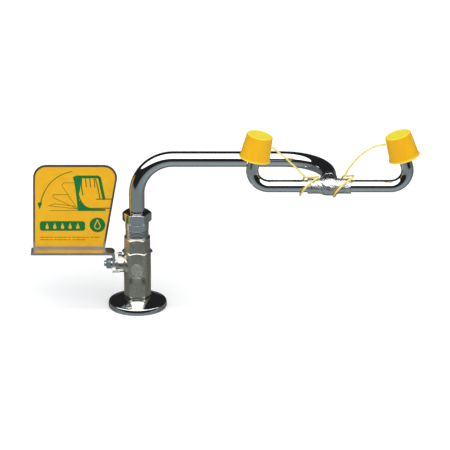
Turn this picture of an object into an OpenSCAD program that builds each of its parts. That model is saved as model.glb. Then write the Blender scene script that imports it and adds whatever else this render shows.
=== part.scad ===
// Deck-mounted eyewash: a flanged ball valve with a push flag, a swinging
// spout arm and twin capped spray heads.
// Frame: +Z up, origin at the centre of the flange's underside, the arm runs
// along +X and carries its heads out towards -Y. Millimetres.

/* [Arm] */
// Outer diameter of the spout pipe
pipe_od = 16.2; // [14:0.1:20]
// Wall of the spout pipe
pipe_wall = 2; // [1:0.1:3]
// Height of the horizontal run above the deck
arm_z = 163; // [145:1:240]
// Distance from the swivel axis to the tee, along the arm
arm_reach = 197; // [150:1:300]
// Distance from the arm to the tee, towards the user
arm_forward = 80; // [76:1:130]
// Centreline radius of the upright bend
riser_bend_r = 38; // [28:1:45]
// Centreline radius of the flat bend
flat_bend_r = 47; // [30:1:52]

/* [Spray tubes] */
// Outer diameter of the spray tubes
tube_od = 12.7; // [10:0.1:14]
// Wall of the spray tubes
tube_wall = 1.2; // [0.8:0.1:2]
// Centreline radius of the spray tube bends
tube_bend_r = 17; // [14:0.5:24]
// Tee centre to the start of the left tube's bend
reach_left = 61; // [45:1:100]
// Tee centre to the start of the right tube's bend
reach_right = 62; // [45:1:100]
// Inward lean of the left head, degrees
lean_left = 12; // [0:1:20]
// Inward lean of the right head, degrees
lean_right = 16; // [0:1:20]
// Straight tube between its bend and the cap's rim
tube_show = 10; // [6:0.5:20]

/* [Tee] */
// Length of the tee's run
tee_l = 44; // [42:1:56]
// Outer diameter of the tee's run
tee_od = 15.6; // [15:0.1:19]
// Diameter of the bulge at the tee's centre
tee_bulge_d = 20; // [19.6:0.1:24]
// Reach of the tee's branch from its centre
tee_branch_l = 22; // [19:0.5:28]
// Outer diameter of the tee's branch collar
tee_collar_d = 17.6; // [17.2:0.1:22]
// How deep each tube goes into the tee
tee_socket = 10; // [7:0.5:12]

/* [Caps] */
// Diameter of a cap's top
cap_top_d = 26.7; // [26.2:0.1:34]
// Diameter of a cap above its lip
cap_base_d = 30.6; // [29.8:0.1:38]
// Diameter of a cap's flared lip
cap_lip_d = 32.4; // [32:0.1:40]
// Height of a cap
cap_h = 26.2; // [24:0.1:36]
// Wall of a cap
cap_wall = 1.5; // [1:0.1:2]
// Thickness of the flared lip
cap_lip_t = 1.4; // [1:0.1:2]
// How far a cap lifts along its head's axis
cap_lift = 28; // [26:1:40]

/* [Spray heads] */
// Diameter of a spray head at its plate
head_d = 22.4; // [20:0.1:22.6]
// Diameter of a spray head's wrench neck
head_neck_d = 17; // [16:0.1:20]
// Height of a spray head
head_h = 22.6; // [20:0.1:24]
// Thickness of the perforated plate
plate_t = 1; // [0.6:0.1:1.6]
// Diameter of each spray hole
spray_hole_d = 1.4; // [1:0.1:2]
// Spray holes in the outer ring
spray_holes = 12; // [6:1:14]

/* [Tethers] */
// Thickness of a cap tether
tether_d = 1.9; // [1.5:0.1:2.5]

/* [Flange] */
// Diameter of the deck flange
flange_d = 61; // [52:1:90]
// Height of the flange's rim
flange_rim_h = 6.6; // [5:0.1:9]
// Height of the flange's crown
flange_crown_h = 13; // [11:0.5:18]
// Radius of the supply thread under the flange
supply_r = 9.1; // [8.5:0.1:9.4]
// Depth of the supply thread
supply_l = 11; // [8:0.5:12]

/* [Ball valve] */
// Across flats of the valve body
valve_af = 28; // [28:0.5:34]
// Height of the valve body
valve_body_h = 46.3; // [46:0.1:50]
// Thickness of the end piece's hexagon ring
ring_h = 3; // [2:0.1:5]
// Height of the end piece above the ring
end_h = 14.5; // [13:0.5:20]
// Height of the stem above the body's foot
stem_up = 33.2; // [32.5:0.1:33.5]
// Radius of the pipe threads at the valve's ends
thread_r = 9.3; // [8.8:0.1:9.5]
// Radius of the ball
ball_r = 10; // [9.8:0.05:10.2]
// Radius of the waterway
way_r = 6.2; // [5:0.1:6.3]
// Diameter of the stem boss
boss_d = 18.2; // [17:0.1:22]
// Distance of the boss's face from the valve's axis
boss_x = 20; // [19:0.1:24]

/* [Stem and handle] */
// Radius of the stem
stem_r = 4; // [3.5:0.1:4.4]
// Thickness of the handle's strip
strip_t = 2.5; // [2:0.1:3.5]
// Width of the handle's strip
strip_w = 16; // [15:0.5:24]
// Gap between the gland's head and the handle
hub_gap = 0.7; // [0.5:0.1:3]
// Height of the strip's underside above the stem
strip_rise = 12; // [11.8:0.1:20]
// Distance of the strip's end from the valve's axis
strip_end = 110.6; // [90:0.5:150]
// Thread radius at the stem's end
stem_end_r = 3; // [2.5:0.1:3]
// Across flats of the stem nut
stem_nut_af = 10; // [9:0.5:12]
// Quarter turn of the handle, degrees
handle_turn = 90; // [60:5:90]

/* [Flag] */
// Height of the flag above the strip
flag_h = 92; // [60:1:130]
// Width of the flag at its foot
flag_foot_w = 75; // [50:1:76]
// How far the flag's right edge leans outwards over its height
flag_lean = 16; // [0:1:16]
// How far the flag's left edge leans inwards over its height
flag_lean_left = 1.5; // [0:0.5:10]
// Thickness of the flag
flag_t = 1.4; // [0.8:0.1:2]
// Corner radius of the flag
flag_corner_r = 14; // [6:1:20]
// Border of bare metal round the label
label_border = 2; // [1:0.5:8]
// Thickness of the label
label_t = 0.3; // [0.2:0.1:0.6]

/* [Swivel] */
// Diameter of the swivel adapter
adapter_d = 24.6; // [24:0.1:30]
// Height of the adapter's visible barrel
adapter_h = 17.3; // [15:0.1:24]
// Across flats of the swivel nut
swivel_nut_af = 26.6; // [26:0.1:32]
// Height of the swivel nut
swivel_nut_h = 10; // [9:0.1:14]
// Thickness of the pipe's swivel collar
collar_t = 2; // [1.5:0.1:3]

/* [Fits] */
// Radial gap of fixed fits and threads
fit_gap = 0.05; // [0.02:0.01:0.08]
// Radial gap of turning fits
run_gap = 0.05; // [0.03:0.01:0.08]
// Gap kept between pieces that move past each other
free_gap = 0.3; // [0.2:0.05:0.4]

/* [Hidden] */
$fn = 96;

chrome = [0.78, 0.8, 0.82];
nickel = [0.52, 0.51, 0.46];
steel = [0.66, 0.67, 0.68];
ptfe = [0.95, 0.95, 0.92];
rubber = [0.12, 0.12, 0.12];
cap_yellow = [0.98, 0.75, 0.12];
cord_yellow = [0.93, 0.88, 0.5];
label_yellow = [0.97, 0.74, 0.1];

LEFT = -1;
RIGHT = 1;
eps = 0.01;
// A leaning tube laps its bend by this much, and is this much finer there.
lap = 0.1;
hair = 0.01;

// Heights up the valve.
body_z = flange_crown_h + 1;
ring_z = body_z + valve_body_h;
end_z = ring_z + ring_h;
valve_top = end_z + end_h;
stem_z = body_z + stem_up;
hub_l = 12;
way_floor = body_z + hub_l + 1;
seat_h = 6;
seat_out = 11.8;
seat_z = stem_z - seat_out;
seat_r = 11.2;
end_thread_r = 12;
end_thread_z = stem_z + seat_out - seat_h + 1.4;
end_bore_l = 11;
body_seal_t = 0.8;

// Places along the stem, which points to -X.
collar_in_x = 10.6;
collar_out_x = 12.3;
recess_x = 13;
stem_collar_r = 5.5;
packing_r = 6.5;
packing_x = 15.5;
packing_t = 2.5;
gland_af = 12;
gland_head = 2.6;
hub_x = boss_x + gland_head + hub_gap;
hub_out_x = hub_x + strip_t;
washer_t = 1.5;
nut_t = 5;
stem_end_x = hub_out_x + washer_t + nut_t + 2.5;
stem_flat = 2.7;
tang_x = 7.2;
tang_w = 3.6;
tang_h = 7.6;
tang_gap = 0.15;

// Stops of the quarter turn: a lug on the boss, two tabs on the handle.
lug_r = boss_d / 2 + 3;
lug_w = 4.5;
lug_l = 4;
tab_w = 3.2;
tab_in = boss_d / 2 + free_gap + 0.8;
tab_out = tab_in + 2;
tab_x = boss_x - lug_l / 2;
stop_angle = asin((lug_w + tab_w) / 2 / tab_in) + 1.5;
hub_r = strip_w / 2;

// Handle strip and flag.
strip_z = stem_z + strip_rise;
strip_top = strip_z + strip_t;
strip_bend_r = 2.2;
flag_y = strip_w / 2 - flag_t;
flag_left = strip_end - 1.8;

// Swivel.
barrel_z = valve_top;
barrel_top = barrel_z + adapter_h;
swivel_thread_r = adapter_d / 2 - 0.9;
swivel_lip_t = 2.4;
nut_z = barrel_top;
nut_top = nut_z + swivel_nut_h;
collar_r = 10;
washer_swivel_t = 1;
collar_z = nut_top - swivel_lip_t - washer_swivel_t - collar_t;
pipe_r = pipe_od / 2;
pipe_in = pipe_r - pipe_wall;
pipe_foot = barrel_z + 4;
ring_wire = 1.2;
ring_spots = [pipe_foot + 4, pipe_foot + 9];
ring_groove = 0.3;

// Arm.
spigot_r = pipe_r - 1.1;
tube_r = tube_od / 2;
tube_in = tube_r - tube_wall;
tee_branch_in = tube_in - 0.6;
tee_half = tee_l / 2;

// Head frame: origin at the end of the tube's bend, +Z along the head.
function reach(side) = side < 0 ? reach_left : reach_right;
function lean(side) = side < 0 ? lean_left : lean_right;
function bend_end(side) = [
    side * (reach(side) + tube_bend_r * cos(lean(side))),
    0,
    tube_bend_r * (1 + sin(lean(side)))
];
head_seat = tube_show + 1.2;
head_top = head_seat + head_h;
neck_h = 8;
head_wall = 1.6;
socket_l = 6;
regulator_h = 3;
screen_t = 0.8;
head_ring_wire = 0.8;
head_ring_out = head_d / 2 + 0.6;
head_ring_z = head_h - 4.4;
cap_z = head_top + free_gap + cap_wall - cap_h;

// Tethers, from the tee's centre: a free span from the cap down to the tee,
// then a loop given as [x, angle]; angle 0 is on top and -90 is behind.
tether_r = tether_d / 2;
tether_sides = 8;
span_left = [
    [-57.9, 0, 41.6], [-55.6, -0.3, 40], [-51.7, -0.8, 36.7], [-45.2, -1.4, 31.6],
    [-39.6, -1.6, 26], [-34.4, -1.4, 20.8], [-29, -0.8, 15]
];
loop_left = [
    [-24.6, -8], [-25.2, -40], [-26.4, -72], [-27.6, -104], [-28.6, -136],
    [-29.2, -168], [-29.4, -200], [-28.8, -232], [-26.6, -262], [-22.8, -290],
    [-18, -316], [-13.4, -340], [-10.8, -362], [-12, -384], [-16, -396],
    [-20, -400], [-22.9, -400]
];
span_right = [
    [56.6, 0, 44.6], [54, -0.3, 44.7], [48, -0.8, 43.6], [41.2, -1.2, 40.8],
    [34.6, -1.5, 36.6], [28.4, -1.6, 31], [23.4, -1.4, 24.8], [19, -1, 18.2]
];
loop_right = [
    [15.6, -8], [14.4, -40], [12.6, -72], [10.6, -104], [8.6, -136],
    [6.6, -168], [4.8, -200], [4.4, -226], [6.6, -254], [10.4, -280],
    [15, -304], [20, -326], [23.8, -346], [24.8, -366], [22.8, -384],
    [19.6, -392], [16.9, -396]
];
loop_r_left = tee_od / 2 + tether_r + 0.65;
loop_r_right = tee_bulge_d / 2 + tether_r - 0.25;

module at_tee() {
    translate([arm_reach, -arm_forward, arm_z]) children();
}

module at_head(side) {
    at_tee() translate(bend_end(side)) rotate([0, -side * lean(side), 0]) children();
}

// Turns a shape that stands on Z so that it lies along -X at stem height.
module on_stem() {
    translate([0, 0, stem_z]) rotate([0, -90, 0]) children();
}

module tube(r_out, r_in, h) {
    difference() {
        cylinder(r = r_out, h = h);
        translate([0, 0, -eps]) cylinder(r = r_in, h = h + 2 * eps);
    }
}

// A bend that starts at the origin along +Z and turns towards +X.
module tube_bend(r_out, r_in, bend_r, angle) {
    translate([bend_r, 0, 0]) rotate([90, 0, 0]) mirror([1, 0, 0])
        rotate_extrude(angle = angle)
            translate([bend_r, 0]) difference() {
                circle(r = r_out);
                circle(r = r_in);
            }
}

module hexagon(af, h) {
    cylinder(d = af / cos(30), h = h, $fn = 6);
}

// Hexagon whose corners are turned off at both ends.
module turned_hexagon(af, h, low, high) {
    corner = af / cos(30) / 2;
    intersection() {
        hexagon(af, h);
        rotate_extrude() polygon([
            [0, 0], [corner - 2 * low, 0], [corner, low],
            [corner, h - high], [corner - 2 * high, h], [0, h]
        ]);
    }
}

// Valve section: a hexagon with its side corners milled flat.
module milled_hexagon(af, h, high) {
    intersection() {
        turned_hexagon(af, h, 0.01, high);
        translate([-af / 2, -af, 0]) cube([af, 2 * af, h]);
    }
}

/* ---- Fixed body ---- */

module deck_flange() {
    r = flange_d / 2;
    shoulder = r - 2.2;
    rise = flange_crown_h - flange_rim_h;
    dome_r = (shoulder * shoulder + rise * rise) / (2 * rise);
    color(chrome) difference() {
        union() {
            rotate_extrude() intersection() {
                translate([0, flange_crown_h - dome_r]) circle(r = dome_r, $fn = 360);
                square([shoulder + eps, flange_crown_h + eps]);
            }
            rotate_extrude() polygon([
                [0, 0], [r - 0.6, 0], [r - 0.2, 0.4], [r - 0.2, 2.2],
                [r - 0.7, 2.6], [r - 0.2, 3], [r, 3.6], [r, 5],
                [r - 0.5, 6], [r - 1.3, flange_rim_h], [shoulder, flange_rim_h - 0.1],
                [shoulder, 1], [0, 1]
            ]);
            cylinder(r = thread_r + 1.4, h = body_z);
            cylinder(r = thread_r, h = body_z + hub_l);
        }
        translate([0, 0, -eps]) cylinder(r = way_r, h = body_z + hub_l + 2 * eps);
        translate([0, 0, -eps]) cylinder(r = supply_r, h = supply_l + eps);
    }
}

module valve_body() {
    color(nickel) difference() {
        union() {
            translate([0, 0, body_z]) milled_hexagon(valve_af, valve_body_h, 0.01);
            on_stem() cylinder(d = boss_d, h = boss_x);
            translate([-boss_x, -lug_w / 2, stem_z])
                cube([lug_l, lug_w, lug_r]);
        }
        translate([0, 0, body_z - eps])
            cylinder(r = thread_r + fit_gap, h = hub_l + 1 + eps);
        translate([0, 0, body_z]) cylinder(r = way_r, h = valve_body_h);
        translate([0, 0, seat_z])
            cylinder(r = seat_r + fit_gap, h = valve_body_h);
        translate([0, 0, end_thread_z])
            cylinder(r = end_thread_r + fit_gap, h = valve_body_h);
        on_stem() cylinder(r = stem_collar_r + 0.2, h = recess_x);
        on_stem() cylinder(r = stem_r + run_gap, h = boss_x + eps);
        on_stem() translate([0, 0, packing_x])
            cylinder(r = packing_r + fit_gap, h = boss_x);
    }
}

module valve_end() {
    color(nickel) difference() {
        union() {
            translate([0, 0, end_thread_z + body_seal_t])
                cylinder(r = end_thread_r, h = ring_z - end_thread_z);
            translate([0, 0, ring_z]) turned_hexagon(valve_af, ring_h, 0.3, 0.7);
            translate([0, 0, ring_z]) milled_hexagon(valve_af - 0.6, ring_h + end_h, 0.7);
        }
        translate([0, 0, body_z]) cylinder(r = way_r, h = valve_top);
        translate([0, 0, seat_z])
            cylinder(r = seat_r + fit_gap, h = 2 * seat_out);
        translate([0, 0, valve_top - end_bore_l])
            cylinder(r = thread_r + fit_gap, h = end_bore_l + eps);
    }
}

module body_seal() {
    color(ptfe) translate([0, 0, end_thread_z])
        tube(end_thread_r, seat_r + 2 * fit_gap, body_seal_t);
}

// PTFE ring with a ball-shaped seat.
module seat_ring() {
    difference() {
        translate([0, 0, -seat_out]) tube(seat_r, way_r, seat_h);
        sphere(r = ball_r + run_gap);
    }
}

module lower_seat() {
    color(ptfe) translate([0, 0, stem_z]) seat_ring();
}

module upper_seat() {
    color(ptfe) translate([0, 0, stem_z]) mirror([0, 0, 1]) seat_ring();
}

module stem_packing() {
    color(ptfe) on_stem() translate([0, 0, packing_x])
        tube(packing_r, stem_r + run_gap, packing_t);
}

module gland_nut() {
    color(steel) on_stem() difference() {
        union() {
            translate([0, 0, packing_x + packing_t])
                cylinder(r = packing_r, h = boss_x - packing_x - packing_t);
            translate([0, 0, boss_x]) turned_hexagon(gland_af, gland_head, 0.1, 0.5);
        }
        cylinder(r = stem_r + run_gap, h = 2 * boss_x);
    }
}

module swivel_adapter() {
    r = adapter_d / 2;
    groove_n = 5;
    groove_pitch = 1.6;
    color(chrome) difference() {
        union() {
            translate([0, 0, valve_top - end_bore_l + 1])
                cylinder(r = thread_r, h = end_bore_l);
            translate([0, 0, barrel_z]) cylinder(r = r - 0.5, h = adapter_h);
            for (i = [0 : groove_n - 1])
                translate([0, 0, barrel_z + 0.6 + i * groove_pitch])
                    cylinder(r = r, h = groove_pitch - 0.5);
            translate([0, 0, barrel_z + groove_n * groove_pitch + 0.6])
                cylinder(r = r, h = adapter_h - groove_n * groove_pitch - 2.6);
            translate([0, 0, barrel_top - eps])
                cylinder(r = swivel_thread_r, h = collar_z - barrel_top);
        }
        translate([0, 0, valve_top - end_bore_l])
            cylinder(r = way_r, h = adapter_h + end_bore_l);
        translate([0, 0, pipe_foot - 1])
            cylinder(r = pipe_r + run_gap, h = 2 * adapter_h);
        for (z = ring_spots)
            translate([0, 0, z])
                cylinder(r = pipe_r + 2 * ring_wire, h = 2 * ring_wire + ring_groove);
    }
}

module swivel_rings() {
    color(rubber) for (z = ring_spots)
        translate([0, 0, z + ring_wire + ring_groove / 2]) rotate_extrude()
            translate([pipe_r + run_gap + ring_wire, 0]) circle(r = ring_wire - run_gap, $fn = 32);
}

module swivel_washer() {
    color(ptfe) translate([0, 0, collar_z + collar_t + run_gap])
        tube(collar_r, pipe_r + run_gap, washer_swivel_t - run_gap);
}

module swivel_nut() {
    color(chrome) difference() {
        union() {
            translate([0, 0, nut_z]) turned_hexagon(swivel_nut_af, swivel_nut_h, 0.5, 1.2);
            translate([0, 0, nut_top]) cylinder(r = pipe_r + 1.5, h = 1);
        }
        translate([0, 0, nut_z - eps])
            cylinder(r = swivel_thread_r + fit_gap, h = swivel_nut_h - swivel_lip_t + eps);
        translate([0, 0, nut_z]) cylinder(r = pipe_r + free_gap, h = 2 * swivel_nut_h);
    }
}

/* ---- Handle ---- */

module valve_ball() {
    color(chrome) translate([0, 0, stem_z]) difference() {
        rotate([90, 0, 0]) rotate_extrude() difference() {
            circle(r = ball_r);
            translate([-2 * ball_r, -2 * ball_r]) square([2 * ball_r + way_r, 4 * ball_r]);
        }
        translate([-2 * ball_r, -tang_w / 2 - tang_gap, -2 * ball_r])
            cube([2 * ball_r - tang_x + tang_gap, tang_w + 2 * tang_gap, 4 * ball_r]);
    }
}

module valve_stem() {
    color(steel) union() {
        translate([-collar_in_x - eps, -tang_w / 2, stem_z - tang_h / 2])
            cube([collar_in_x - tang_x, tang_w, tang_h]);
        on_stem() translate([0, 0, collar_in_x])
            cylinder(r = stem_collar_r, h = collar_out_x - collar_in_x);
        on_stem() translate([0, 0, collar_out_x])
            cylinder(r = stem_r, h = hub_x - collar_out_x);
        on_stem() intersection() {
            translate([0, 0, hub_x - eps]) cylinder(r = stem_r, h = strip_t + eps);
            translate([-2 * stem_r, -stem_flat, 0]) cube([4 * stem_r, 2 * stem_flat, 2 * hub_x]);
        }
        on_stem() translate([0, 0, hub_out_x - eps])
            cylinder(r = stem_end_r - 0.4, h = stem_end_x - hub_out_x);
        on_stem() translate([0, 0, hub_out_x - eps])
            cylinder(r = stem_end_r, h = stem_end_x - hub_out_x - 0.8);
    }
}

module stem_thrust_washer() {
    color(ptfe) on_stem() translate([0, 0, collar_out_x])
        tube(stem_collar_r, stem_r + run_gap, recess_x - collar_out_x - run_gap);
}

// Stop tab: an ear on the hub plate, bent in over the boss.
module stop_tab(angle) {
    on_stem() rotate([0, 0, angle]) {
        translate([stem_r + 2, -tab_w / 2, hub_x])
            cube([tab_out - stem_r - 2, tab_w, strip_t]);
        translate([tab_in, -tab_w / 2, tab_x])
            cube([tab_out - tab_in, tab_w, hub_x - tab_x + eps]);
    }
}

module handle_bracket() {
    bend_out = strip_bend_r + strip_t;
    color(steel) difference() {
        union() {
            on_stem() translate([0, 0, hub_x]) cylinder(r = hub_r, h = strip_t);
            translate([-hub_out_x, -strip_w / 2, stem_z])
                cube([strip_t, strip_w, strip_top - bend_out - stem_z]);
            translate([-hub_x - bend_out, strip_w / 2, strip_top - bend_out])
                rotate([90, 0, 0]) intersection() {
                    tube(bend_out, strip_bend_r, strip_w);
                    cube([2 * bend_out, 2 * bend_out, strip_w]);
                }
            translate([-strip_end, -strip_w / 2, strip_z])
                cube([strip_end - hub_x - bend_out, strip_w, strip_t]);
            stop_tab(stop_angle);
            stop_tab(-handle_turn - stop_angle);
        }
        on_stem() intersection() {
            cylinder(r = stem_r + fit_gap, h = 2 * hub_x);
            translate([-2 * stem_r, -stem_flat - fit_gap, 0])
                cube([4 * stem_r, 2 * (stem_flat + fit_gap), 2 * hub_x]);
        }
    }
}

module stem_washer() {
    color(steel) on_stem() translate([0, 0, hub_out_x])
        tube(stem_nut_af / 2 + 0.8, stem_end_r + fit_gap, washer_t);
}

module stem_nut() {
    color(steel) on_stem() translate([0, 0, hub_out_x + washer_t]) difference() {
        turned_hexagon(stem_nut_af, nut_t, 0.1, 0.5);
        translate([0, 0, -eps]) cylinder(r = stem_end_r + fit_gap, h = nut_t + 2 * eps);
    }
}

// Flag outline with its left foot at the origin. Both upper corners are
// circles that touch the leaning edges.
module flag_shape(inset) {
    r = flag_corner_r - inset;
    mid = flag_h - flag_corner_r;
    left_x = flag_lean_left * mid / flag_h;
    right_x = flag_foot_w + flag_lean * mid / flag_h;
    tilt = atan(flag_lean / flag_h);
    corner = 0.02;
    hull() {
        translate([inset, inset]) square(corner);
        translate([flag_foot_w - inset - corner, inset]) square(corner);
        translate([left_x + flag_corner_r, mid]) circle(r = r, $fn = 48);
        translate([right_x - flag_corner_r / cos(tilt), mid]) circle(r = r, $fn = 48);
    }
}

module flag_plate() {
    color(steel) translate([-flag_left, flag_y + flag_t, strip_top]) rotate([90, 0, 0])
        linear_extrude(flag_t) flag_shape(0);
}

module flag_label() {
    color(label_yellow) translate([-flag_left, flag_y, strip_top]) rotate([90, 0, 0])
        linear_extrude(label_t) flag_shape(label_border);
}

/* ---- Swinging arm ---- */

module spout_pipe() {
    rise = arm_z - riser_bend_r;
    run_end = arm_reach - flat_bend_r;
    out_end = arm_forward - tee_branch_l;
    color(chrome) union() {
        translate([0, 0, pipe_foot]) tube(pipe_r, pipe_in, rise - pipe_foot);
        translate([0, 0, rise]) tube_bend(pipe_r, pipe_in, riser_bend_r, 90);
        translate([riser_bend_r, 0, arm_z]) rotate([0, 90, 0])
            tube(pipe_r, pipe_in, run_end - riser_bend_r);
        translate([run_end, 0, arm_z]) rotate([-90, 0, 0]) rotate([0, 90, 0])
            tube_bend(pipe_r, pipe_in, flat_bend_r, 90);
        translate([arm_reach, -flat_bend_r, arm_z]) rotate([90, 0, 0])
            tube(pipe_r, pipe_in, out_end - flat_bend_r);
        translate([arm_reach, -out_end, arm_z]) rotate([90, 0, 0])
            tube(spigot_r, pipe_in, tee_socket);
    }
}

module swivel_collar() {
    color(chrome) translate([0, 0, collar_z]) tube(collar_r, pipe_r + fit_gap, collar_t);
}

module tee() {
    color(chrome) at_tee() difference() {
        union() {
            translate([-tee_half, 0, 0]) rotate([0, 90, 0]) cylinder(d = tee_od, h = tee_l);
            rotate([0, 90, 0]) sphere(d = tee_bulge_d);
            rotate([-90, 0, 0]) cylinder(d = tee_collar_d - 1, h = tee_branch_l);
            translate([0, tee_branch_l - 7, 0]) rotate([-90, 0, 0])
                cylinder(d = tee_collar_d, h = 7);
        }
        translate([-tee_l, 0, 0]) rotate([0, 90, 0]) cylinder(r = tube_in, h = 2 * tee_l);
        for (side = [LEFT, RIGHT])
            translate([side * (tee_half - tee_socket), 0, 0]) rotate([0, side * 90, 0])
                cylinder(r = tube_r + fit_gap, h = tee_l);
        rotate([-90, 0, 0]) cylinder(r = tee_branch_in, h = 2 * tee_branch_l);
        translate([0, tee_branch_l - tee_socket - 1, 0]) rotate([-90, 0, 0])
            cylinder(r = spigot_r + fit_gap, h = tee_branch_l);
    }
}

module spray_tube(side) {
    inner = tee_half - tee_socket;
    color(chrome) union() {
        at_tee() translate([side * inner, 0, 0]) rotate([0, side * 90, 0])
            tube(tube_r, tube_in, reach(side) - inner);
        at_tee() mirror([side < 0 ? 1 : 0, 0, 0]) translate([reach(side), 0, 0])
            rotate([180, 0, 0]) rotate([0, 90, 0])
                tube_bend(tube_r, tube_in, tube_bend_r, 90 + lean(side));
        at_head(side) translate([0, 0, -lap])
            tube(tube_r - hair, tube_in + hair, head_seat + socket_l + lap);
    }
}

// Spray head shell: a neck that takes the tube, then a bowl for the plate.
module spray_head(side) {
    color(chrome) at_head(side) translate([0, 0, head_seat]) difference() {
        union() {
            cylinder(d = head_neck_d, h = neck_h + eps);
            translate([0, 0, neck_h])
                cylinder(d1 = head_neck_d, d2 = head_d, h = 4);
            translate([0, 0, neck_h + 4 - eps]) cylinder(d = head_d, h = head_h - neck_h - 4);
        }
        translate([0, 0, -eps]) cylinder(r = tube_r + fit_gap, h = socket_l + eps);
        cylinder(r = tube_in, h = head_h);
        translate([0, 0, neck_h + 2]) cylinder(r = head_d / 2 - head_wall, h = head_h);
        translate([0, 0, head_h - plate_t]) cylinder(r = head_d / 2 - 0.8 + fit_gap, h = head_h);
        translate([0, 0, head_ring_z])
            tube(head_d, head_ring_out - 2 * head_ring_wire, 2 * head_ring_wire);
    }
}

module flow_regulator(side) {
    color(rubber) at_head(side) translate([0, 0, head_seat + neck_h + 2])
        tube(head_d / 2 - head_wall - fit_gap, 2.5, regulator_h);
}

module head_screen(side) {
    r = head_d / 2 - head_wall - fit_gap;
    color(steel) at_head(side) translate([0, 0, head_seat + neck_h + 2 + regulator_h])
        difference() {
            cylinder(r = r, h = screen_t);
            for (a = [0 : 60 : 300])
                rotate([0, 0, a]) translate([r / 2, 0, -eps])
                    cylinder(r = 1.6, h = screen_t + 2 * eps);
        }
}

module spray_plate(side) {
    inner_holes = spray_holes / 2;
    color(chrome) at_head(side) translate([0, 0, head_top - plate_t]) difference() {
        cylinder(r = head_d / 2 - 0.8, h = plate_t);
        for (i = [0 : spray_holes - 1])
            rotate([0, 0, i * 360 / spray_holes]) translate([7.6, 0, -eps])
                cylinder(d = spray_hole_d, h = plate_t + 2 * eps);
        for (i = [0 : inner_holes - 1])
            rotate([0, 0, i * 360 / inner_holes]) translate([4.2, 0, -eps])
                cylinder(d = spray_hole_d, h = plate_t + 2 * eps);
    }
}

// Soft ring in the head's groove, which steadies the cap.
module head_ring(side) {
    color(rubber) at_head(side) translate([0, 0, head_seat + head_ring_z + head_ring_wire])
        rotate_extrude() translate([head_ring_out - head_ring_wire, 0])
            circle(r = head_ring_wire - fit_gap, $fn = 32);
}

/* ---- Tethers ---- */

function wrapped(loop, r) = [
    for (p = loop) [p[0], -r * sin(p[1]), r * cos(p[1])]
];
function tether_route(side) = side < 0
    ? concat(span_left, wrapped(loop_left, loop_r_left))
    : concat(span_right, wrapped(loop_right, loop_r_right));

function unit(v) = v / norm(v);
function tangent(p, i) = unit(p[min(i + 1, len(p) - 1)] - p[max(i - 1, 0)]);
function side_way(t) = unit(cross(t, abs(t[1]) < 0.9 ? [0, 1, 0] : [1, 0, 0]));
// Each ring's side direction follows on from the ring before it.
function carry(p, i, u) = i >= len(p) ? [] : let(
    t = tangent(p, i), v = unit(u - t * (u * t))
) concat([v], carry(p, i + 1, v));

module swept_cord(p, r, sides) {
    ways = carry(p, 0, side_way(tangent(p, 0)));
    rings = [for (i = [0 : len(p) - 1], k = [0 : sides - 1])
        let(t = tangent(p, i), u = ways[i], v = cross(t, u), a = k * 360 / sides)
        p[i] + r * (u * cos(a) + v * sin(a))];
    last = (len(p) - 1) * sides;
    quads = [for (i = [0 : len(p) - 2], k = [0 : sides - 1])
        [i * sides + k, i * sides + (k + 1) % sides,
         (i + 1) * sides + (k + 1) % sides, (i + 1) * sides + k]];
    start = [[for (k = [sides - 1 : -1 : 0]) k]];
    end = [[for (k = [0 : sides - 1]) last + k]];
    polyhedron(points = rings, faces = concat(quads, start, end), convexity = 6);
}

module tether(side) {
    color(cord_yellow) at_tee()
        swept_cord(tether_route(side), tether_r, tether_sides);
}

/* ---- Caps ---- */

module cap(side) {
    base_r = cap_base_d / 2;
    top_r = cap_top_d / 2;
    lip_r = cap_lip_d / 2;
    edge = 1.2;
    color(cap_yellow) at_head(side) translate([0, 0, cap_z]) difference() {
        rotate_extrude() polygon([
            [0, 0], [lip_r, 0], [lip_r, 0.4], [base_r, cap_lip_t],
            [top_r, cap_h - edge], [top_r - 0.35 * edge, cap_h - 0.35 * edge],
            [top_r - edge, cap_h], [0, cap_h]
        ]);
        translate([0, 0, -eps]) cylinder(
            r1 = base_r - cap_wall, r2 = top_r - cap_wall, h = cap_h - cap_wall + eps);
    }
}

module spray_tube_left() { spray_tube(LEFT); }
module spray_tube_right() { spray_tube(RIGHT); }
module spray_head_left() { spray_head(LEFT); }
module spray_head_right() { spray_head(RIGHT); }
module flow_regulator_left() { flow_regulator(LEFT); }
module flow_regulator_right() { flow_regulator(RIGHT); }
module head_screen_left() { head_screen(LEFT); }
module head_screen_right() { head_screen(RIGHT); }
module spray_plate_left() { spray_plate(LEFT); }
module spray_plate_right() { spray_plate(RIGHT); }
module head_ring_left() { head_ring(LEFT); }
module head_ring_right() { head_ring(RIGHT); }
module tether_left() { tether(LEFT); }
module tether_right() { tether(RIGHT); }
module cap_left() { cap(LEFT); }
module cap_right() { cap(RIGHT); }

deck_flange();
valve_body();
valve_end();
lower_seat();
upper_seat();
body_seal();
stem_packing();
gland_nut();
swivel_adapter();
swivel_rings();
swivel_washer();
swivel_nut();
valve_ball();
valve_stem();
stem_thrust_washer();
handle_bracket();
stem_washer();
stem_nut();
flag_plate();
flag_label();
spout_pipe();
swivel_collar();
tee();
spray_tube_left();
spray_tube_right();
spray_head_left();
spray_head_right();
flow_regulator_left();
flow_regulator_right();
head_screen_left();
head_screen_right();
spray_plate_left();
spray_plate_right();
head_ring_left();
head_ring_right();
tether_left();
tether_right();
cap_left();
cap_right();
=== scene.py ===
# %% [markdown]
# # A deck-mounted eyewash with a push-flag valve
# The real object is a chromed arm that swings on a small forged ball valve.
# A yellow flag on a steel strip opens the valve, and two plastic caps keep
# the spray heads clean. The metal frame comes in as CAD; this lesson gives
# each visible piece its true surface and its finish, and leaves every
# dimension where the frame put it.

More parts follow.
